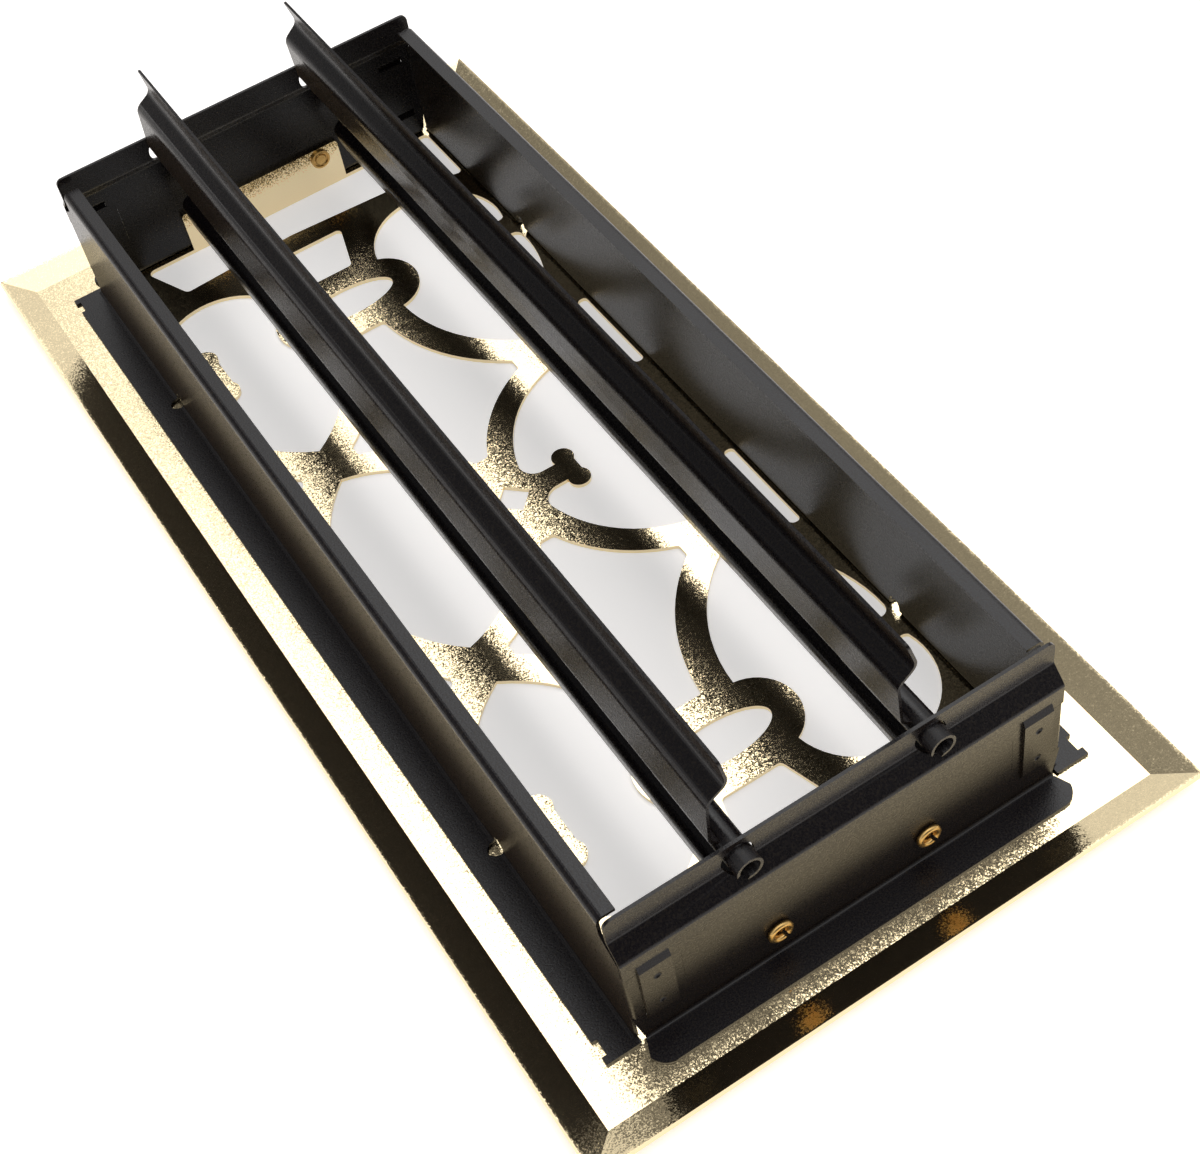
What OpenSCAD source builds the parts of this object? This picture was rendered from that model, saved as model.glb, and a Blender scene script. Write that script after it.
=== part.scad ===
// Floor register lying face down: a stamped scroll face plate, a folded sheet
// damper box riveted to its back, and two louvre blades that turn in the box.
// X runs along the length, Z up from the front of the face plate.

/* [Face plate] */
// Width of the flat border past each end plate, up to the rim's fold
end_border = 10.65; // [8:0.05:16]
// Width of the flat border past each side wall, up to the rim's fold
side_border = 13.2; // [9:0.1:18]
// Thickness of the face sheet
face_t = 1; // [0.8:0.1:2]
// Reach of the sloping rim past its fold
rim_reach = 6.5; // [3:0.1:9]
// Rise of the rim's back edge over the back of the field
rim_rise = 2.68; // [1:0.02:4]
// Width of the tab turned up at each end
tab_w = 44; // [40:0.5:52]
// Height of the tabs over the back of the field
tab_h = 11.2; // [10.5:0.1:14]
// Radius of the tabs' top corners
tab_r = 1; // [0.5:0.1:3]

/* [Damper box] */
// Length over the two end plates
box_l = 249; // [240:0.5:255]
// Width over the two side walls
box_w = 94.8; // [90:0.2:100]
// Thickness of the box sheet
box_t = 0.7; // [0.5:0.05:0.9]
// Bend radius of the box sheet, at the middle of the sheet
box_bend = 1.1; // [0.8:0.05:1.5]
// Height of the side walls over the back of the field
wall_h = 35.5; // [34:0.1:40]
// Width of the side walls' foot flange, from the wall
wall_foot = 7; // [5:0.1:9]
// Reach of the side walls' top lip, from the wall's outer face
wall_lip = 4; // [3:0.1:4.4]
// Height of the end plates over the back of the field
end_h = 37.9; // [37.5:0.1:42]
// Width of the end plates' foot flange, from the plate
end_foot = 6.9; // [5:0.1:9]
// Corner radius of the end plates' foot flange
end_foot_r = 4; // [1:0.5:5]
// How far the end plates are cut back at each side, at the foot's fold
end_foot_in = 1.6; // [0.8:0.1:2.4]
// Distance from the fold where that cut runs out
end_foot_run = 4; // [2:0.1:5]
// Corner radius at the top of the end plates
end_top_r = 1.6; // [0.5:0.1:4]
// Height where the end plates start to step inwards
step_h = 28.2; // [27:0.1:29]
// Height that the inward step takes
step_run = 3.4; // [3:0.1:4]
// Depth of the inward step
step_in = 3.2; // [2:0.1:3.6]

/* [Wall ends and fixings] */
// Gap between a wall's end and the outer face of the end plate
wall_short = 1; // [0.8:0.1:2]
// Height where a wall's end starts to slope back
slope_h = 26.8; // [26:0.1:28]
// Height that the sloping part of a wall's end takes
slope_run = 3.6; // [3:0.1:4]
// How far the sloping part runs back
slope_in = 5.1; // [3.6:0.1:6]
// Reach of the walls' foot flange past the end plates
foot_past = 0.5; // [0.2:0.1:2]
// Distance of the foot flange's notch from its end
notch_in = 1.7; // [1:0.1:3]
// Length of the notch
notch_l = 3.5; // [2:0.1:5]
// Depth of the notch
notch_d = 1.1; // [0.5:0.1:2]
// Spacing of the holes in the bend of each wall's foot
wall_hole_pitch = 150; // [100:1:180]
// Diameter of the holes in the bend of each wall's foot
wall_hole_d = 3.5; // [2:0.1:4]
// Width of the raised straps on the end plates
strap_w = 6.6; // [6:0.1:7.6]
// Distance of the straps from the end plate's edge
strap_edge = 2.75; // [2:0.05:4]
// Height of the straps' lower end
strap_h = 6.5; // [5.5:0.1:7]
// Length of the straps up the plate
strap_l = 18.5; // [18:0.1:19.5]
// Length of a strap's sloping ends
strap_ramp = 1.5; // [1.2:0.1:1.6]
// Spacing of the two stake marks on a strap
stake_pitch = 8.6; // [6:0.1:10]
// Diameter of a stake mark
stake_d = 1.7; // [1:0.1:2.5]
// Depth of a stake mark
stake_depth = 0.4; // [0.2:0.05:0.45]
// Height of the hook tabs, up the wall
hook_h = 14.4; // [10:0.1:14.8]
// Reach of the hook tabs past the strap's inner edge
hook_past = 2.1; // [0.5:0.1:3]
// Length of the slanting corners at the hook tabs' ends
hook_slant = 2; // [1:0.1:3]
// Gap between a hook tab's end and the end of its notch in the end plate
hook_gap = 0.05; // [0.05:0.05:0.5]
// Gap over a hook tab in its notch
hook_slack = 0.1; // [0.1:0.05:0.6]

/* [Rivets] */
// Spacing of the two rivets at each end
rivet_pitch = 33; // [28:0.5:36]
// Height of the rivets over the back of the field
rivet_h = 8.2; // [7:0.1:8.2]
// Diameter of the rivet's shank
rivet_d = 3.2; // [2.5:0.1:3.6]
// Diameter of the bore in the shank
rivet_bore = 2; // [1.2:0.1:2.2]
// Diameter of the head on the tab's side
rivet_head = 5; // [4.4:0.1:5.4]
// Thickness of that head
rivet_head_t = 0.6; // [0.4:0.1:1]
// Diameter of the round groove in that head
rivet_groove = 3.4; // [3:0.1:3.6]
// Width of that groove
rivet_groove_w = 0.7; // [0.4:0.1:0.8]
// Diameter of the rolled ring on the box's side
clinch_d = 5.4; // [5:0.1:6]
// Thickness of the rolled ring
clinch_t = 1.3; // [1.2:0.05:1.6]
// Width of the split in the rolled ring
clinch_split = 0.8; // [0.4:0.1:1.2]
// Turn of that split from straight down
clinch_turn = 35; // [0:1:60]

/* [Louvre blades] */
// Spacing of the two blades' axes
blade_pitch = 40.75; // [40:0.05:43]
// Height of the blades' axes over the back of the field
axis_h = 33; // [31:0.1:34]
// Thickness of the blade sheet
blade_t = 0.6; // [0.4:0.05:0.7]
// Bend radius of the blade sheet, at the middle of the sheet
blade_bend = 2.4; // [0.8:0.1:3]
// Distance of the blade's upper edge from its axis
blade_reach = 24.4; // [23:0.1:25.4]
// Distance of the blade's lower edge from its axis
blade_low = 22.3; // [20.5:0.1:23]
// Width of a lip, from the blade's edge to the lip's fold
lip_w = 6.8; // [6:0.1:8]
// Distance of the channel's outer fold from the blade's edge
channel_edge = 9.8; // [9:0.1:11]
// Distance of the channel's inner fold from the axis
channel_in = 3.4; // [3:0.1:5]
// Depth of the channel from the blade's middle plane
channel_d = 3.8; // [2:0.1:4]
// Swing of the lip's edge from the blade's middle plane, to the channel's side
lip_swing = 1.1; // [0.5:0.1:1.4]
// Swing of the lip's fold from the blade's middle plane, to the other side
fold_swing = 0.4; // [0:0.1:1]
// Gap between a blade's end and the end plate's stepped face
blade_end_gap = 2.2; // [1:0.1:3]
// How far the blades have slid towards the far end in that gap
blade_slide = 0.4; // [0:0.1:0.8]
// Corner radius of the blade's lips
lip_r = 1; // [0.5:0.1:3]
// Diameter of the rolled trunnions
trunnion_d = 5.4; // [4.5:0.1:5.6]
// Diameter of the holes that the trunnions turn in
trunnion_hole = 6.8; // [6:0.1:7]
// Reach of the trunnions past the end plate's stepped face
trunnion_out = 3.5; // [3:0.1:5]
// Length of trunnion fused to the blade
trunnion_root = 20; // [3:0.5:24]
// Width of the open seam along a trunnion
trunnion_seam = 2.8; // [0.5:0.1:3]
// Turn of that seam from straight down
seam_turn = 45; // [0:1:80]
// Lean of the left blade from upright, top towards the middle
left_lean = 3.2; // [0:0.1:10]
// Lean of the right blade from upright, top towards the middle
right_lean = 3.2; // [0:0.1:10]

/* [Fits] */
// Clearance between pieces that pass each other
fit = 0.05; // [0.02:0.01:0.1]

/* [Scroll openings] */
// Gap between the scroll's straight border and the side wall
scroll_gap = 0.7; // [0.5:0.1:2]
// Radius of the middle fan's lower arc
fan_r = 30.4; // [29:0.1:32]
// Distance of the lower arc's centre from the border
fan_drop = 10.8; // [10:0.1:12]
// Radius of the fan's upper arc
fan_cap_r = 39.6; // [36:0.1:44]
// Distance of the upper arc's crown from the border
fan_cap_gap = 4.8; // [4:0.1:6]
// Width of the metal band beside the fan
fan_band = 6; // [5:0.1:7]
// Radius of the long leaf's lower arc
leaf_low_r = 37; // [36:0.1:38]
// Distance of the lower arc's centre beyond the border
leaf_low_rise = 1.3; // [0:0.1:3]
// Radius of the leaf's upper arc
leaf_top_r = 36.8; // [34:0.1:40]
// Distance of the upper arc's crown from the border
leaf_top_gap = 0.1; // [0.1:0.1:1]
// Distance of the leaf's middle from the eye's middle
leaf_back = 14; // [12:0.5:16]
// Width of the metal band under the leaf
leaf_band = 6.6; // [5:0.1:8]
// Width of the metal band over the leaf
leaf_top_band = 8.2; // [7:0.1:9]
// Radius of the round eye at the leaf's end
eye_r = 16.5; // [15:0.1:18]
// Distance of the eye's crown from the border
eye_gap = 0.2; // [0.1:0.1:1]
// Distance of the eye's middle from the end slot
eye_back = 25.2; // [24:0.1:28]
// Width of the metal band around the eye
eye_band = 6.2; // [5:0.1:7]
// Radius of the knob that curls into the leaf
knob_r = 9.8; // [8:0.1:11]
// Distance of the knob's middle from the middle line
knob_y = 9; // [8:0.1:11]
// Distance of the knob's middle from the eye's middle
knob_back = 6.2; // [5:0.1:8]
// Half width of the small diamond in the middle
diamond_x = 4.3; // [3:0.1:5]
// Half height of the small diamond in the middle
diamond_y = 4.2; // [3:0.1:4.6]
// Distance of the heart's blunt end from the middle
heart_in = 14.2; // [12:0.1:16]
// Half height of the heart
heart_y = 21.4; // [20:0.1:22]
// Corner radius of the heart and the spandrel
heart_ease = 1; // [0.5:0.1:1.5]
// Distance of the slender oval from the eye's middle
oval_back = 6; // [4:0.1:8]
// Half width of the slender oval
oval_x = 4.9; // [3:0.1:6]
// Half height of the slender oval
oval_y = 12.4; // [10:0.1:13]
// Width of the end slot
slot_w = 11.6; // [9:0.1:12.4]
// Distance of the slot's inner corners from the border
slot_drop = 16; // [14:0.1:18]
// Distance of the slot's outer corners from the border
slot_out_drop = 10.4; // [9:0.1:12]
// Bow of the slot's inner edge
slot_bow = 1.7; // [0:0.1:3]
// Corner radius of the end slot
slot_r = 1.5; // [0.5:0.1:2]
// Length of the keystone beside the end slot
stone_l = 13.8; // [10:0.1:15]
// Half height of the keystone at the slot
stone_out_y = 11; // [9:0.1:12]
// Half height of the keystone at its narrow end
stone_in_y = 7; // [5:0.1:8]
// Corner radius of the keystone and the corner opening
stone_r = 1.2; // [0.5:0.1:2]
// Length of the corner opening along the border
corner_l = 19.8; // [16:0.1:21]
// Reach of the corner opening past the end slot
corner_past = 0.2; // [0.1:0.1:0.9]
// Depth of the corner opening's outer side
corner_side = 2.7; // [2:0.1:4]
// Depth of the corner opening's inner point
corner_point = 10; // [9:0.1:11]
// Distance of that point from the corner opening's outer side
corner_point_in = 16.3; // [14:0.1:18]
// Distance of the spandrel's inner end from the middle
spandrel_in = 17.7; // [15:0.1:20]
// Length of the spandrel along the border
spandrel_l = 26.1; // [22:0.1:28]
// Depth of the spandrel
spandrel_d = 10.6; // [9:0.1:11]
// Radius of the spandrel's inner arc
spandrel_r = 56.7; // [50:0.1:60]
// Distance of that arc's crown beyond the border
spandrel_rise = 0.7; // [0.2:0.1:1.5]

/* [Trefoils] */
// Half width of the fan trefoil's stem
fan_stem = 2.8; // [2:0.1:3.5]
// Radius where that stem spreads into the band
fan_spread = 3.8; // [2:0.1:4]
// Half spacing of that trefoil's lobes
fan_lobe_x = 3.6; // [3:0.1:4.5]
// Height of the lobes' middles over the band
fan_lobe_h = 10.2; // [9:0.1:12]
// Radius of the lobes
fan_lobe_r = 2.6; // [2:0.1:3]
// Height of the dip between the lobes
fan_dip_h = 12; // [11:0.1:12.6]
// Half width of the border trefoil's stem
bud_stem = 3.1; // [2:0.1:4]
// Radius where that stem spreads into the border
bud_spread = 2; // [1:0.1:3]
// Half spacing of that trefoil's lobes
bud_lobe_x = 6.3; // [5:0.1:7]
// Height of the lobes' middles under the border
bud_lobe_h = 9; // [8:0.1:10]
// Radius of the lobes
bud_lobe_r = 3.3; // [2.5:0.1:3.6]
// Height of the dip between the lobes
bud_dip_h = 11.6; // [10.5:0.1:12]
// Distance of the border trefoil from the eye's middle
bud_back = 8; // [6:0.1:10]

/* [Hidden] */
$fn = 96;
BRASS = "goldenrod";
BLACK = "dimgray";
ENDS = [-1, 1];

// The sloping rim: how far the sheet's thickness shifts its front surface
rim_angle = atan2(rim_rise, rim_reach);
rim_fold_shift = face_t * tan(rim_angle / 2);
rim_edge_x = face_t * sin(rim_angle);
rim_edge_z = face_t * cos(rim_angle);

// The flat field follows the box
field_l = box_l + 2 * end_border;
field_w = box_w + 2 * side_border;

// The box's faces, from the outside in
end_x = box_l / 2;
end_inner_x = end_x - box_t;
strip_x = end_x - step_in;
wall_y = box_w / 2;
wall_inner_y = wall_y - box_t;
wall_end_x = end_x - wall_short;
foot_end_x = end_x + foot_past;

// The hook tabs lie in notches of the end plates, and the straps stand off far enough to pass over them
hook_mid_x = end_x - box_t / 2;
strap_mid_x = hook_mid_x + box_t + fit;
strap_y = wall_y - strap_edge - strap_w / 2;
strap_mid_h = strap_h + strap_l / 2;
hook_end_y = strap_y - strap_w / 2 - hook_past;
hook_low_z = face_t + strap_mid_h - hook_h / 2;
hook_top_z = hook_low_z + hook_h;
stake_sphere_r = (pow(stake_d / 2, 2) + pow(stake_depth, 2)) / (2 * stake_depth);

// Each trunnion rests low on the right in its hole
rest_angle = 40;
hole_play = (trunnion_hole - trunnion_d) / 2 - fit;
hole_shift = hole_play * cos(rest_angle);
axis_z = face_t + axis_h;
hole_z = axis_z + hole_play * sin(rest_angle);
blade_end_x = strip_x - box_t - blade_end_gap;
trunnion_end_x = strip_x + trunnion_out;

// The scroll's border and the places that follow the end slot
scroll_y = wall_inner_y - scroll_gap;
slot_out_x = end_inner_x - face_t;
slot_in_x = slot_out_x - slot_w;
eye_x = slot_in_x - eye_back;
eye_y = scroll_y - eye_gap - eye_r;
leaf_x = eye_x - leaf_back;
leaf_low_y = scroll_y + leaf_low_rise;
leaf_top_y = scroll_y - leaf_top_gap - leaf_top_r;
fan_y = scroll_y - fan_drop;
fan_cap_y = scroll_y - fan_cap_gap - fan_cap_r;
fan_foot_y = fan_y - fan_r;
oval_mid_x = eye_x - oval_back;
heart_out = oval_mid_x - oval_x - leaf_band;
stone_out_x = slot_in_x - eye_band;
corner_out_x = slot_out_x + corner_past;

function unit(v) = v / norm(v);
function left_normal(a, b) = let (d = unit(b - a)) [-d.y, d.x];

// Points of a bend of radius r at b, on the way from a to c
function bend(a, b, c, r, steps = 6) =
    let (u = unit(a - b), v = unit(c - b), half = acos(u * v) / 2)
    let (middle = b + unit(u + v) * r / sin(half), start = b + u * r / tan(half) - middle)
    let (finish = b + v * r / tan(half) - middle, from = atan2(start.y, start.x))
    let (turn = (atan2(finish.y, finish.x) - from + 540) % 360 - 180)
    [for (k = [0:steps]) middle + r * [cos(from + turn * k / steps), sin(from + turn * k / steps)]];

// A path with every fold rounded, and a closed outline with every corner rounded
function bent(path, r) = let (last = len(path) - 1)
    [path[0], for (k = [1:last - 1]) each bend(path[k - 1], path[k], path[k + 1], r), path[last]];
function eased(outline, r) = let (n = len(outline))
    [for (k = [0:n - 1]) each bend(outline[(k + n - 1) % n], outline[k], outline[(k + 1) % n], r)];

// The outline of a sheet of thickness t that follows a path at its middle
function mitre(path, k) = let (last = len(path) - 1)
    let (before = left_normal(path[max(k - 1, 0)], path[max(k, 1)]))
    let (after = left_normal(path[min(k, last - 1)], path[min(k + 1, last)]))
    let (m = unit(before + after)) m / (m * before);
function sheet(path, t) = let (last = len(path) - 1)
    concat([for (k = [0:last]) path[k] + mitre(path, k) * t / 2],
           [for (k = [last:-1:0]) path[k] - mitre(path, k) * t / 2]);

// An outline drawn in X and Z and drawn out across the width, or in Y and Z and along the length
module across(width) translate([0, width / 2, 0]) rotate([90, 0, 0]) linear_extrude(width) children();
module along(length) translate([-length / 2, 0, 0]) rotate([90, 0, 90]) linear_extrude(length) children();

module disc(x, y, r) translate([x, y]) circle(r);
module four_ways() for (x = [0, 1], y = [0, 1]) mirror([x, 0]) mirror([0, y]) children();
module round_corners(r) offset(r = r) offset(delta = -r) children();

// A stem with two lobes that grows up from an edge at y = 0
module trefoil(stem, spread, spread_y, lobe_x, lobe_h, lobe_r, dip_h) {
    sunk = stem;
    translate([-stem, -sunk]) square([2 * stem, lobe_h + sunk]);
    difference() {
        translate([-stem - spread, -sunk]) square([2 * (stem + spread), spread_y + sunk]);
        for (side = ENDS) disc(side * (stem + spread), spread_y, spread);
    }
    for (side = ENDS) disc(side * lobe_x, lobe_h, lobe_r);
    translate([-lobe_x, lobe_h]) square([2 * lobe_x, dip_h - lobe_h]);
}

// The fan over the middle, with a trefoil standing in it
module fan_opening() {
    spread_x = fan_stem + fan_spread;
    spread_y = fan_r - sqrt(pow(fan_r - fan_spread, 2) - pow(spread_x, 2));
    difference() {
        intersection() {
            disc(0, fan_y, fan_r);
            disc(0, fan_cap_y, fan_cap_r);
        }
        translate([0, fan_foot_y])
            trefoil(fan_stem, fan_spread, spread_y, fan_lobe_x, fan_lobe_h, fan_lobe_r, fan_dip_h);
    }
}

// The long leaf with a round eye, a knob curling into it and a trefoil hanging from the border
module leaf_opening() {
    difference() {
        union() {
            intersection() {
                disc(leaf_x, leaf_low_y, leaf_low_r);
                disc(leaf_x, leaf_top_y, leaf_top_r);
                square([eye_x, scroll_y]);
            }
            disc(eye_x, eye_y, eye_r);
        }
        disc(eye_x - knob_back, knob_y, knob_r);
        translate([eye_x - bud_back, scroll_y]) mirror([0, 1])
            trefoil(bud_stem, bud_spread, bud_spread + eye_gap, bud_lobe_x, bud_lobe_h, bud_lobe_r,
                    bud_dip_h);
    }
}

// The heart that lies across the middle line between the fans and the leaves
module heart_opening() round_corners(heart_ease) difference() {
    translate([heart_in, -heart_y]) square([heart_out - heart_in, 2 * heart_y]);
    for (side = ENDS) {
        disc(0, side * fan_y, fan_r + fan_band);
        disc(leaf_x, side * leaf_low_y, leaf_low_r + leaf_band);
    }
}

// The three-sided opening along the border between a fan and a leaf
module spandrel_opening() round_corners(heart_ease) difference() {
    translate([spandrel_in, scroll_y - spandrel_d]) square([spandrel_l, spandrel_d]);
    disc(0, scroll_y + spandrel_rise - spandrel_r, spandrel_r);
    disc(leaf_x, leaf_top_y, leaf_top_r + leaf_top_band);
}

// The opening in each corner, hollowed to follow the eye
module corner_opening() difference() {
    polygon(eased([[corner_out_x - corner_l, scroll_y],
                   [corner_out_x - corner_point_in, scroll_y - corner_point],
                   [corner_out_x, scroll_y - corner_side], [corner_out_x, scroll_y]], stone_r));
    disc(eye_x, eye_y, eye_r + eye_band);
}

// The keystone and the end slot beside the turned-up tab
module keystone_opening() polygon(eased(
    [[stone_out_x, stone_out_y], [stone_out_x - stone_l, stone_in_y],
     [stone_out_x - stone_l, -stone_in_y], [stone_out_x, -stone_out_y]], stone_r));
module slot_opening() {
    inner_y = scroll_y - slot_drop;
    outer_y = scroll_y - slot_out_drop;
    polygon(eased([[slot_out_x, outer_y], [slot_in_x - slot_bow, inner_y], [slot_in_x, 0],
                   [slot_in_x - slot_bow, -inner_y], [slot_out_x, -outer_y]], slot_r));
}

oval_sides = 36;
module scroll_openings() {
    polygon([[diamond_x, 0], [0, diamond_y], [-diamond_x, 0], [0, -diamond_y]]);
    for (side = [0, 1]) {
        mirror([0, side]) fan_opening();
        mirror([side, 0]) heart_opening();
        mirror([side, 0]) keystone_opening();
        mirror([side, 0]) slot_opening();
        mirror([side, 0]) translate([oval_mid_x, 0])
            scale([oval_x / oval_y, 1]) circle(oval_y, $fn = oval_sides);
    }
    four_ways() leaf_opening();
    four_ways() spandrel_opening();
    four_ways() corner_opening();
}

// Cross-section under the front surface and over the back surface of the tray, for one half width
function tray_outside(half) = let (x = half + rim_reach + rim_edge_x, z = face_t + rim_rise - rim_edge_z)
    [[half + rim_fold_shift, 0], [x, z], [x - 2 * rim_edge_x, z + 2 * rim_edge_z],
     [2 * rim_edge_x - x, z + 2 * rim_edge_z], [-x, z], [-half - rim_fold_shift, 0]];
function tray_inside(half) = let (x = half + 2 * rim_reach, z = face_t + 2 * rim_rise)
    [[half, face_t], [x, z], [-x, z], [-half, face_t]];

module tray() difference() {
    intersection() {
        across(2 * field_w) polygon(tray_outside(field_l / 2));
        along(2 * field_l) polygon(tray_outside(field_w / 2));
    }
    intersection() {
        across(2 * field_w) polygon(tray_inside(field_l / 2));
        along(2 * field_l) polygon(tray_inside(field_w / 2));
    }
}

// A tab turned up from the end slot, with its two rivet holes
module tab() difference() {
    translate([slot_out_x, 0, 0]) rotate([90, 0, 90]) linear_extrude(face_t) difference() {
        translate([-tab_w / 2, 0]) square([tab_w, face_t + tab_h]);
        for (side = ENDS) translate([side * (tab_w / 2 - tab_r), face_t + tab_h - tab_r]) difference() {
            translate([side > 0 ? 0 : -tab_r, 0]) square(tab_r);
            circle(tab_r);
        }
    }
    rivet_holes();
}
module rivet_holes() for (side = ENDS)
    translate([slot_out_x - face_t, side * rivet_pitch / 2, face_t + rivet_h])
        rotate([0, 90, 0]) cylinder(d = rivet_d + 2 * fit, h = 3 * face_t + box_t);

module face_plate() color(BRASS) {
    difference() {
        tray();
        translate([0, 0, -face_t]) linear_extrude(3 * face_t) scroll_openings();
    }
    for (side = [0, 1]) mirror([side, 0, 0]) tab();
}

// An end plate: foot flange, upright, inward step and the strip that carries the trunnions
end_path = [[end_x + end_foot, face_t + box_t / 2], [end_x - box_t / 2, face_t + box_t / 2],
            [end_x - box_t / 2, face_t + step_h], [strip_x - box_t / 2, face_t + step_h + step_run],
            [strip_x - box_t / 2, face_t + end_h]];
strap_path = [[end_x - box_t / 2, face_t + strap_h - box_t], [end_x - box_t / 2, face_t + strap_h],
              [strap_mid_x, face_t + strap_h + strap_ramp],
              [strap_mid_x, face_t + strap_h + strap_l - strap_ramp],
              [end_x - box_t / 2, face_t + strap_h + strap_l],
              [end_x - box_t / 2, face_t + strap_h + strap_l + box_t]];

module end_plate() {
    difference() {
        across(box_w) polygon(sheet(bent(end_path, box_bend), box_t));
        for (side = ENDS) {
            translate([end_inner_x - box_t, side * strap_y - strap_w / 2, face_t + strap_h])
                cube([3 * box_t, strap_w, strap_l]);
            translate([end_inner_x - box_t, 0, 0]) rotate([90, 0, 90]) linear_extrude(3 * box_t) {
                polygon([[side * box_w, hook_low_z - fit],
                         [side * (hook_end_y + hook_slant), hook_low_z - fit],
                         [side * (hook_end_y - hook_gap), hook_low_z + hook_slant],
                         [side * (hook_end_y - hook_gap), hook_top_z - hook_slant],
                         [side * (hook_end_y + hook_slant), hook_top_z + hook_slack],
                         [side * box_w, hook_top_z + hook_slack]]);
                polygon([[side * wall_y, hook_low_z], [side * (wall_y - end_foot_in), face_t],
                         [side * (wall_y - end_foot_in), 0], [side * (wall_y + box_t), 0],
                         [side * (wall_y + box_t), hook_low_z]]);
            }
            linear_extrude(face_t + 2 * box_t)
                polygon([[end_inner_x, side * (wall_y - end_foot_in)], [end_x, side * (wall_y - end_foot_in)],
                         [end_x + end_foot_run, side * wall_y], [end_inner_x, side * (wall_y + box_t)]]);
            translate([strip_x - 2 * box_t, side * blade_pitch / 2 - hole_shift, hole_z]) rotate([0, 90, 0])
                cylinder(d = trunnion_hole, h = step_in + 3 * box_t);
            translate([end_x + end_foot - end_foot_r, side * (wall_y - end_foot_r), 0]) difference() {
                translate([0, side > 0 ? 0 : -end_foot_r, 0])
                    cube([2 * end_foot_r, end_foot_r, face_t + 2 * box_t]);
                translate([0, 0, -box_t]) cylinder(r = end_foot_r, h = face_t + 4 * box_t);
            }
            translate([strip_x - 2 * box_t, side * (wall_y - end_top_r), face_t + end_h - end_top_r])
                difference() {
                    translate([0, side > 0 ? 0 : -end_top_r, 0]) cube([3 * box_t, end_top_r, end_top_r]);
                    rotate([0, 90, 0]) translate([0, 0, -box_t]) cylinder(r = end_top_r, h = 5 * box_t);
                }
        }
        rivet_holes();
    }
    for (side = ENDS) difference() {
        translate([0, side * strap_y, 0]) across(strap_w) polygon(sheet(strap_path, box_t));
        for (mark = ENDS)
            translate([strap_mid_x + box_t / 2 + stake_sphere_r - stake_depth, side * strap_y,
                       face_t + strap_mid_h + mark * stake_pitch / 2]) sphere(stake_sphere_r);
    }
}
module near_end_plate() color(BLACK) end_plate();
module far_end_plate() color(BLACK) mirror([1, 0, 0]) end_plate();

// A side wall: foot flange, upright, top lip and a hook tab round each end
wall_path = [[wall_y + wall_foot, face_t + box_t / 2], [wall_y - box_t / 2, face_t + box_t / 2],
             [wall_y - box_t / 2, face_t + wall_h - box_t / 2],
             [wall_y - wall_lip, face_t + wall_h - box_t / 2]];
hook_path = [[wall_end_x - box_t, wall_y - box_t / 2], [hook_mid_x, wall_y - box_t / 2],
             [hook_mid_x, hook_end_y]];

module side_wall() {
    top = face_t + wall_h + box_t;
    difference() {
        along(2 * foot_end_x) polygon(sheet(bent(wall_path, box_bend), box_t));
        for (side = [0, 1]) mirror([side, 0, 0]) {
            translate([0, wall_y - wall_lip / 2, 0]) across(2 * wall_lip) polygon(
                [[wall_end_x, face_t + box_t], [wall_end_x, face_t + slope_h],
                 [wall_end_x - slope_in, face_t + slope_h + slope_run], [wall_end_x - slope_in, top],
                 [foot_end_x + box_t, top], [foot_end_x + box_t, face_t + box_t]]);
            translate([foot_end_x - notch_in - notch_l, wall_y + wall_foot - notch_d, 0])
                cube([notch_l, 2 * notch_d, face_t + 2 * box_t]);
            translate([wall_hole_pitch / 2, wall_y, face_t + box_t]) rotate([45, 0, 0])
                cylinder(d = wall_hole_d, h = 4 * wall_hole_d, center = true);
        }
    }
    for (side = [0, 1]) mirror([side, 0, 0]) translate([0, 0, hook_low_z]) difference() {
        linear_extrude(hook_h) polygon(sheet(bent(hook_path, box_t / 2 + fit), box_t));
        translate([end_inner_x - box_t, 0, 0]) rotate([90, 0, 90]) linear_extrude(3 * box_t) {
            polygon([[hook_end_y - fit, -fit], [hook_end_y + hook_slant, -fit],
                     [hook_end_y - fit, hook_slant]]);
            polygon([[hook_end_y - fit, hook_h + fit], [hook_end_y + hook_slant, hook_h + fit],
                     [hook_end_y - fit, hook_h - hook_slant]]);
        }
    }
}
module left_wall() color(BLACK) mirror([0, 1, 0]) side_wall();
module right_wall() color(BLACK) side_wall();

// A blade folded to an S, its lower half the upper one turned round, with a rolled trunnion at each end
function half_blade(reach) = [[-lip_swing, reach], [fold_swing, reach - lip_w],
                              [-channel_d, reach - channel_edge], [-channel_d, channel_in]];
blade_path = concat(half_blade(blade_reach), [for (k = [3:-1:0]) -half_blade(blade_low)[k]]);

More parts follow.
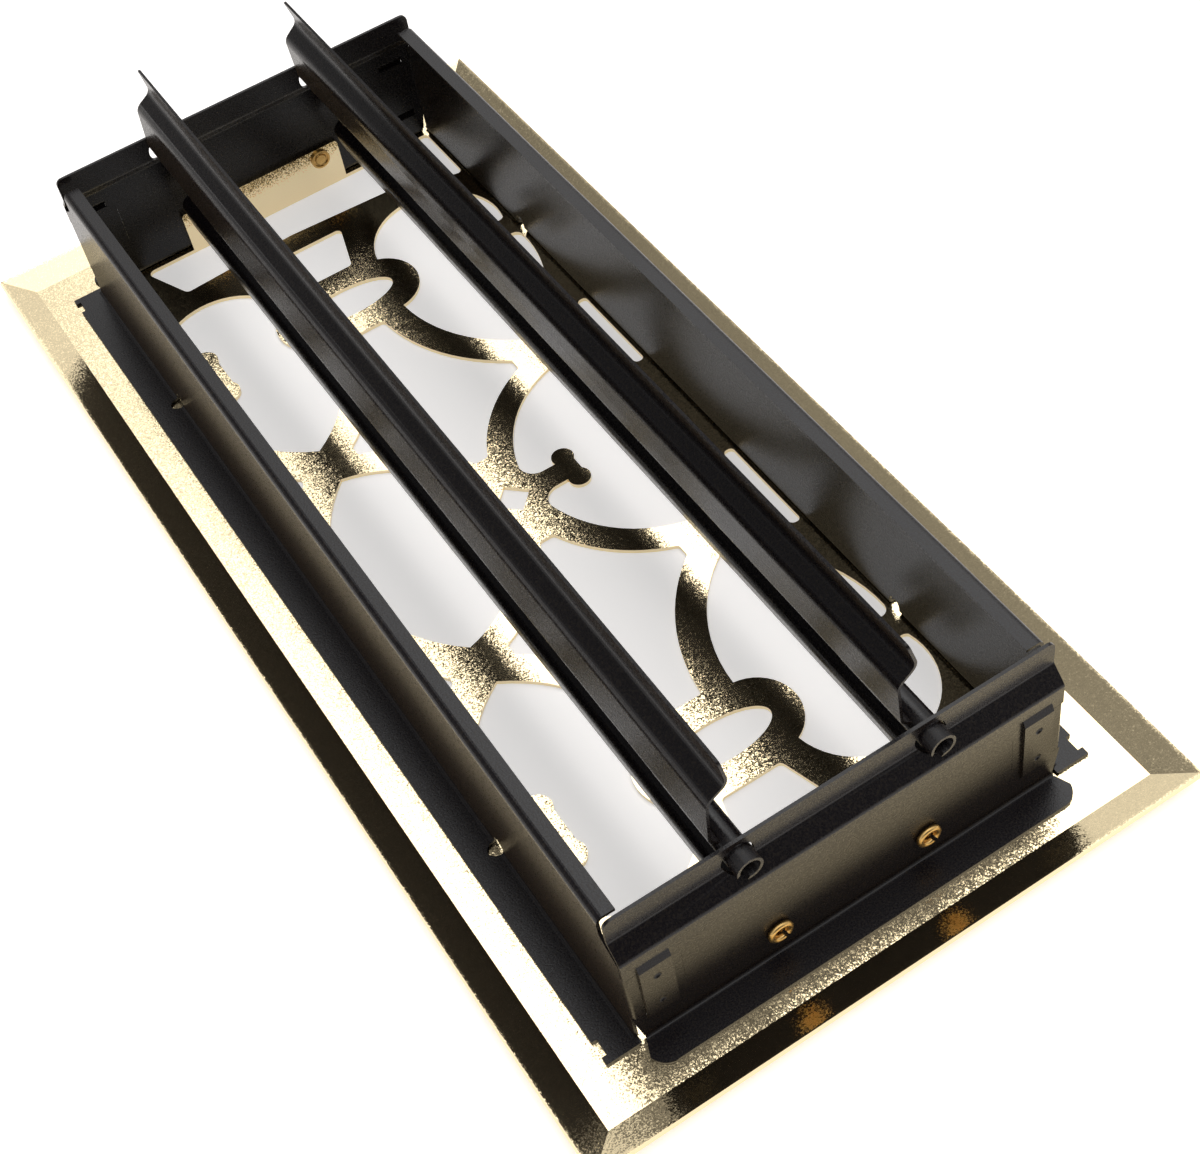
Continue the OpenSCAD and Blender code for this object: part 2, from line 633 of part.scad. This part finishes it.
// The waste at a lip's corner, and the open tube rolled for a trunnion
module lip_corner() difference() {
    translate([0, -2 * channel_d, 0]) cube([2 * lip_r, 4 * channel_d, 2 * lip_r]);
    rotate([90, 0, 0]) cylinder(r = lip_r, h = 6 * channel_d, center = true);
}
module trunnion() {
    length = trunnion_end_x - blade_end_x + trunnion_root;
    translate([blade_end_x - trunnion_root, 0, 0]) rotate([0, 90, 0]) difference() {
        cylinder(d = trunnion_d, h = length);
        translate([0, 0, -fit]) cylinder(d = trunnion_d - 2 * blade_t, h = length + 2 * fit);
        rotate([0, 0, -seam_turn]) translate([0, -trunnion_seam / 2, -fit])
            cube([trunnion_d, trunnion_seam, length + 2 * fit]);
    }
}
module blade() {
    difference() {
        along(2 * blade_end_x) polygon(sheet(bent(blade_path, blade_bend), blade_t));
        for (side = [0, 1], half = [[0, blade_reach], [180, blade_low]])
            mirror([side, 0, 0]) rotate([half[0], 0, 0])
                translate([blade_end_x - lip_r, 0, half[1] - lip_r]) lip_corner();
    }
    for (side = [0, 1]) mirror([side, 0, 0]) trunnion();
}
module left_blade() color(BLACK)
    translate([-blade_slide, -blade_pitch / 2, axis_z]) rotate([-left_lean, 0, 0]) blade();
module right_blade() color(BLACK)
    translate([-blade_slide, blade_pitch / 2, axis_z]) rotate([right_lean, 0, 0]) blade();

// A tubular rivet along X: a dimpled head inside the tab, a split rolled ring outside the box
module rivet(side) {
    grip = face_t + box_t;
    ring_r = (clinch_d - clinch_t) / 2;
    ring_z = grip + clinch_t / 2;
    translate([slot_out_x, side * rivet_pitch / 2, face_t + rivet_h]) rotate([0, 90, 0]) difference() {
        union() {
            translate([0, 0, -rivet_head_t]) cylinder(d = rivet_head, h = rivet_head_t);
            cylinder(d = rivet_d, h = ring_z);
            translate([0, 0, ring_z]) rotate_extrude() translate([ring_r, 0]) circle(d = clinch_t);
        }
        cylinder(d = rivet_bore, h = 2 * ring_z);
        translate([0, 0, -rivet_head_t]) rotate_extrude() translate([rivet_groove / 2, 0])
            circle(d = rivet_groove_w);
        rotate([0, 0, clinch_turn]) translate([0, -clinch_split / 2, grip])
            cube([clinch_d, clinch_split, 2 * clinch_t]);
    }
}
module near_left_rivet() color(BRASS) rivet(-1);
module near_right_rivet() color(BRASS) rivet(1);
module far_left_rivet() color(BRASS) mirror([1, 0, 0]) rivet(-1);
module far_right_rivet() color(BRASS) mirror([1, 0, 0]) rivet(1);

face_plate();
near_end_plate();
far_end_plate();
left_wall();
right_wall();
left_blade();
right_blade();
near_left_rivet();
near_right_rivet();
far_left_rivet();
far_right_rivet();
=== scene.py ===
import math

import bpy
from mathutils import Matrix, Vector


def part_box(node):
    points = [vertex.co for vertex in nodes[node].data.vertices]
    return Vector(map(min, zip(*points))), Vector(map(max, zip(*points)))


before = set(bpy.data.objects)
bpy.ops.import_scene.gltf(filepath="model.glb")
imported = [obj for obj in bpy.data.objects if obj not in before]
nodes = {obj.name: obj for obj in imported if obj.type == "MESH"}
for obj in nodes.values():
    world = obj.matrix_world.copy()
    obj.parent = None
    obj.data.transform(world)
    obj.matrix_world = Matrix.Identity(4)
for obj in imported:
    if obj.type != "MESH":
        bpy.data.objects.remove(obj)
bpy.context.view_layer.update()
scene = bpy.context.scene
scene.view_settings.view_transform = "Standard"
MM = 0.001

# The register lies face down and is seen from above its near end, a little to the left.
# The camera stands about 44 cm away, tipped over to the left.
CAMERA_AT = Vector((277.3, -101.3, 329.1)) * MM
CAMERA_AZIMUTH = math.radians(-23.0)
CAMERA_ELEVATION = math.radians(50.75)
CAMERA_ROLL = math.radians(-11.76)
CLEAR_BEFORE_LENS = 10 * MM
SENSOR_WIDTH = 36.0
FOCAL_LENGTH = 60.27

camera_data = bpy.data.cameras.new("camera")
camera_data.sensor_fit = "HORIZONTAL"
camera_data.sensor_width = SENSOR_WIDTH
camera_data.lens = FOCAL_LENGTH
camera_data.clip_start = CLEAR_BEFORE_LENS
camera = bpy.data.objects.new("camera", camera_data)
turned = Matrix.Rotation(CAMERA_AZIMUTH + math.pi / 2, 4, "Z")
tipped = Matrix.Rotation(math.pi / 2 - CAMERA_ELEVATION, 4, "X")
rolled = Matrix.Rotation(CAMERA_ROLL, 4, "Z")
camera.matrix_world = Matrix.Translation(CAMERA_AT) @ turned @ tipped @ rolled
scene.collection.objects.link(camera)
scene.camera = camera


# A white paper ground in a light tent. The paper stays white to the eye where nothing shades it,
# and its own grey shows where the register throws a soft shadow.
def hex_colour(code):
    channels = [int(code[k:k + 2], 16) / 255 for k in (1, 3, 5)]
    linear = [c / 12.92 if c <= 0.04045 else ((c + 0.055) / 1.055) ** 2.4 for c in channels]
    return (*linear, 1.0)


def add_node(tree, kind, settings=None, links=None):
    node = tree.nodes.new(kind)
    for name, value in (settings or {}).items():
        if isinstance(name, int) or name in node.inputs:
            node.inputs[name].default_value = value
        else:
            setattr(node, name, value)
    for name, source in (links or {}).items():
        tree.links.new(source, node.inputs[name])
    return node


def material(name):
    made = bpy.data.materials.new(name)
    made.use_nodes = True
    made.node_tree.nodes.clear()
    return made


PAPER_WHITE = "#F5F0EC"
PAPER_ROUGHNESS = 0.9
PAPER_SHINE = 0.2
GLOW_WHITE = "#FFFFFF"
PAPER_GLOW = 0.42
PAPER_HALF_SIZE = 1500 * MM

paper = material("white_paper")
tree = paper.node_tree
rays = add_node(tree, "ShaderNodeLightPath")
seen = add_node(tree, "ShaderNodeMath", {"operation": "MAXIMUM"},
                {0: rays.outputs["Is Camera Ray"], 1: rays.outputs["Is Glossy Ray"]})
seen_through = add_node(tree, "ShaderNodeMath", {"operation": "MAXIMUM"},
                        {0: seen.outputs[0], 1: rays.outputs["Is Transmission Ray"]})
glow = add_node(tree, "ShaderNodeMath", {"operation": "MULTIPLY", 1: PAPER_GLOW},
                {0: seen_through.outputs[0]})
sheet = add_node(tree, "ShaderNodeBsdfPrincipled",
                 {"Base Color": hex_colour(PAPER_WHITE), "Roughness": PAPER_ROUGHNESS,
                  "Specular IOR Level": PAPER_SHINE, "Emission Color": hex_colour(GLOW_WHITE)},
                 {"Emission Strength": glow.outputs[0]})
add_node(tree, "ShaderNodeOutputMaterial", links={"Surface": sheet.outputs[0]})

ground_mesh = bpy.data.meshes.new("ground")
sides = ((-1, -1), (1, -1), (1, 1), (-1, 1))
corners = [(x * PAPER_HALF_SIZE, y * PAPER_HALF_SIZE, 0) for x, y in sides]
ground_mesh.from_pydata(corners, [], [(0, 1, 2, 3)])
ground_mesh.materials.append(paper)
ground = bpy.data.objects.new("ground", ground_mesh)
scene.collection.objects.link(ground)

# The tent itself: white cloth, brighter towards its roof, with a lamp behind the cloth high at the back.
# Its front is open, so the room behind the camera is dim, and a grey cloth hangs at the far left.
# The front, the grey cloth and the lamp each fade in from an edge to where they are full.
TENT_WHITE = "#FFFFFF"
FOOT_STRENGTH = 0.58
BAND_STRENGTH = 1.0
BAND_HEIGHT = 0.64
ROOF_GAIN = 1.6
ROOF_HEIGHT = 0.92
GREY_CLOTH = Vector((-0.5, -0.5, 0.7)).normalized()
GREY_GAIN = 0.18
GREY_EDGE = 0.8
GREY_FULL = 0.92
OPEN_FRONT = Vector((0.95, -0.1, 0.1)).normalized()
FRONT_GAIN = 0.1
FRONT_EDGE = 0.62
FRONT_FULL = 0.86
LAMP = Vector((-0.5, 0.36, 0.79)).normalized()
LAMP_GAIN = 2.2
LAMP_EDGE = 0.9
LAMP_FULL = 0.985

world = bpy.data.worlds.new("light_tent")
world.use_nodes = True
scene.world = world
tree = world.node_tree
tree.nodes.clear()
way = add_node(tree, "ShaderNodeTexCoord").outputs["Generated"]
height = add_node(tree, "ShaderNodeSeparateXYZ", links={0: way}).outputs["Z"]
to_front, to_grey, to_lamp = (
    add_node(tree, "ShaderNodeVectorMath", {"operation": "DOT_PRODUCT", 1: middle}, {0: way}).outputs["Value"]
    for middle in (OPEN_FRONT, GREY_CLOTH, LAMP))
lit = None
for value, kind, start, end, before, after in (
        (height, "LINEAR", 0.0, BAND_HEIGHT, FOOT_STRENGTH, BAND_STRENGTH),
        (height, "LINEAR", BAND_HEIGHT, ROOF_HEIGHT, 1.0, ROOF_GAIN),
        (to_grey, "SMOOTHSTEP", GREY_EDGE, GREY_FULL, 1.0, GREY_GAIN),
        (to_front, "SMOOTHSTEP", FRONT_EDGE, FRONT_FULL, 1.0, FRONT_GAIN),
        (to_lamp, "SMOOTHSTEP", LAMP_EDGE, LAMP_FULL, 1.0, LAMP_GAIN)):
    step = add_node(tree, "ShaderNodeMapRange",
                    {"interpolation_type": kind, "From Min": start, "From Max": end,
                     "To Min": before, "To Max": after}, {"Value": value}).outputs[0]
    if lit is not None:
        step = add_node(tree, "ShaderNodeMath", {"operation": "MULTIPLY"}, {0: lit, 1: step}).outputs[0]
    lit = step
cloth = add_node(tree, "ShaderNodeBackground", {"Color": hex_colour(TENT_WHITE)}, {"Strength": lit})
add_node(tree, "ShaderNodeOutputWorld", links={"Surface": cloth.outputs[0]})

# The face plate: stamped sheet steel with polished brass plating, lying with its back up.
# The plating mirrors what stands round it, and the sheet's own grain breaks that up into sparkles.
# The outer edge of the rim is rolled a little outwards.
WELD_WITHIN = 0.002 * MM
EDGE_STEPS = 2


def soften(node, edge, sharpest):
    weld = node.modifiers.new("weld", "WELD")
    weld.merge_threshold = WELD_WITHIN
    bevel = node.modifiers.new("edges", "BEVEL")
    bevel.width = edge
    bevel.segments = EDGE_STEPS
    bevel.limit_method = "ANGLE"
    bevel.angle_limit = sharpest
    bevel.harden_normals = True


def wear(node, finish):
    node.data.materials.clear()
    node.data.materials.append(finish)


BRASS = "#F2DFB6"
BRASS_ROUGHNESS = 0.15
BRASS_EDGE = 0.2 * MM
BRASS_FOLD = math.radians(21)
GRAIN_SIZE = 0.24 * MM
GRAIN_TILT = 0.12
GRAIN_MIDDLE = (0.5, 0.5, 0.5)
EDGE_ROLL = (0.2, 0.2, 0)
ROLL_WIDTH = 1.2 * MM
# Map Range's vector sockets share their names with its plain ones, so they go by their places.
VALUE, FROM_LEAST, FROM_MOST, TO_MOST = 6, 7, 8, 10

brass = material("bright_brass_plating")
tree = brass.node_tree
place = add_node(tree, "ShaderNodeTexCoord").outputs["Object"]
grain = add_node(tree, "ShaderNodeTexVoronoi", {"Scale": 1 / GRAIN_SIZE}, {"Vector": place})
off_level = add_node(tree, "ShaderNodeVectorMath", {"operation": "SUBTRACT", 1: GRAIN_MIDDLE},
                     {0: grain.outputs["Color"]})
tilt = add_node(tree, "ShaderNodeVectorMath", {"operation": "SCALE", "Scale": GRAIN_TILT},
                {0: off_level.outputs[0]})
surface = add_node(tree, "ShaderNodeNewGeometry").outputs["True Normal"]
leaning = add_node(tree, "ShaderNodeVectorMath", {"operation": "ADD"}, {0: surface, 1: tilt.outputs[0]})
from_middle = add_node(tree, "ShaderNodeVectorMath", {"operation": "ABSOLUTE"}, {0: place})
which_side = add_node(tree, "ShaderNodeVectorMath", {"operation": "SIGN"}, {0: place})
rim_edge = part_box("face_plate")[1]
roll_start = [c - ROLL_WIDTH for c in rim_edge]
roll = add_node(tree, "ShaderNodeMapRange",
                {"data_type": "FLOAT_VECTOR", FROM_LEAST: roll_start, FROM_MOST: rim_edge,
                 TO_MOST: EDGE_ROLL},
                {VALUE: from_middle.outputs[0]})
outward = add_node(tree, "ShaderNodeVectorMath", {"operation": "MULTIPLY"},
                   {0: roll.outputs[1], 1: which_side.outputs[0]})
shaped = add_node(tree, "ShaderNodeVectorMath", {"operation": "ADD"},
                  {0: leaning.outputs[0], 1: outward.outputs[0]})
facet = add_node(tree, "ShaderNodeVectorMath", {"operation": "NORMALIZE"}, {0: shaped.outputs[0]})
plating = add_node(tree, "ShaderNodeBsdfPrincipled",
                   {"Base Color": hex_colour(BRASS), "Metallic": 1.0, "Roughness": BRASS_ROUGHNESS},
                   {"Normal": facet.outputs[0]})
add_node(tree, "ShaderNodeOutputMaterial", links={"Surface": plating.outputs[0]})
wear(nodes["face_plate"], brass)
soften(nodes["face_plate"], BRASS_EDGE, BRASS_FOLD)

# The damper box and its blades: folded sheet with satin black paint, sprayed thin, so that a fine
# tooth shows, brown primer shines through in flecks, and the sheen is uneven like dry spray.
# A haze shows at a low angle, as on matte paint, and its warm tint is a painted reflection of the brass
# light; the folds and cut edges catch the light.
PAINT = "#100D10"
PRIMER_FLECK = "#1E1813"
FLECK_START = 0.5
FLECK_FULL = 0.7
PAINT_IOR = 1.38
SMOOTH_PAINT = 0.24
DRY_PAINT = 0.34
SMOOTH_BELOW = 0.35
DRY_ABOVE = 0.65
PAINT_EDGE = 0.15 * MM
PAINT_FOLD = math.radians(35)
# Painted reflection: the grazing sheen is tinted warm to stand in for the brass light falling on the paint.
WARM_SHEEN_PAINTED_BRASS_LIGHT = "#DDB27C"
GRAZING_SHEEN_WEIGHT = 0.05
GRAZING_SHEEN_ROUGHNESS = 0.4
TOOTH_SIZE = 0.42 * MM
TOOTH_DEPTH = 0.03 * MM
TOOTH_DETAIL = 2
# Mix's colour sockets share their names with its plain ones, so they go by their places.
SHARE, FIRST_COLOUR, SECOND_COLOUR, MIXED_COLOUR = 0, 6, 7, 2

paint = material("satin_black_paint")
tree = paint.node_tree
place = add_node(tree, "ShaderNodeTexCoord").outputs["Object"]
tooth = add_node(tree, "ShaderNodeTexNoise", {"Scale": 1 / TOOTH_SIZE, "Detail": TOOTH_DETAIL},
                 {"Vector": place})
bump = add_node(tree, "ShaderNodeBump", {"Strength": 1.0, "Distance": TOOTH_DEPTH},
                {"Height": tooth.outputs[0]})
unevenness = add_node(tree, "ShaderNodeMapRange",
                      {"From Min": SMOOTH_BELOW, "From Max": DRY_ABOVE,
                       "To Min": SMOOTH_PAINT, "To Max": DRY_PAINT},
                      {"Value": tooth.outputs[0]})
flecks = add_node(tree, "ShaderNodeMapRange", {"From Min": FLECK_START, "From Max": FLECK_FULL},
                  {"Value": tooth.outputs[0]})
tone = add_node(tree, "ShaderNodeMix",
                {"data_type": "RGBA", FIRST_COLOUR: hex_colour(PAINT),
                 SECOND_COLOUR: hex_colour(PRIMER_FLECK)},
                {SHARE: flecks.outputs[0]})
coat = add_node(tree, "ShaderNodeBsdfPrincipled",
                {"IOR": PAINT_IOR, "Sheen Weight": GRAZING_SHEEN_WEIGHT, "Sheen Roughness": GRAZING_SHEEN_ROUGHNESS,
                 "Sheen Tint": hex_colour(WARM_SHEEN_PAINTED_BRASS_LIGHT)},
                {"Base Color": tone.outputs[MIXED_COLOUR], "Roughness": unevenness.outputs[0],
                 "Normal": bump.outputs[0]})
add_node(tree, "ShaderNodeOutputMaterial", links={"Surface": coat.outputs[0]})
for name in ("near_end_plate", "far_end_plate", "left_wall", "right_wall", "left_blade", "right_blade"):
    wear(nodes[name], paint)
    soften(nodes[name], PAINT_EDGE, PAINT_FOLD)

# The rivets: tubular, of solid brass, warmer than the plating. Their far ends are rolled over and split,
# and a little tarnish makes them bright and dull by turns.
RIVET_BRASS = "#D2AC6C"
RIVET_BRIGHT = 0.2
RIVET_DULL = 0.4
TARNISH_SIZE = 0.8 * MM
TARNISH_DETAIL = 3

rivet_metal = material("rolled_rivet_brass")
tree = rivet_metal.node_tree
place = add_node(tree, "ShaderNodeTexCoord").outputs["Object"]
tarnish = add_node(tree, "ShaderNodeTexNoise", {"Scale": 1 / TARNISH_SIZE, "Detail": TARNISH_DETAIL},
                   {"Vector": place})
rough = add_node(tree, "ShaderNodeMapRange", {"To Min": RIVET_BRIGHT, "To Max": RIVET_DULL},
                 {"Value": tarnish.outputs[0]})
body = add_node(tree, "ShaderNodeBsdfPrincipled", {"Base Color": hex_colour(RIVET_BRASS), "Metallic": 1.0},
                {"Roughness": rough.outputs[0]})
add_node(tree, "ShaderNodeOutputMaterial", links={"Surface": body.outputs[0]})
for end in ("near", "far"):
    for side in ("left", "right"):
        wear(nodes[f"{end}_{side}_rivet"], rivet_metal)
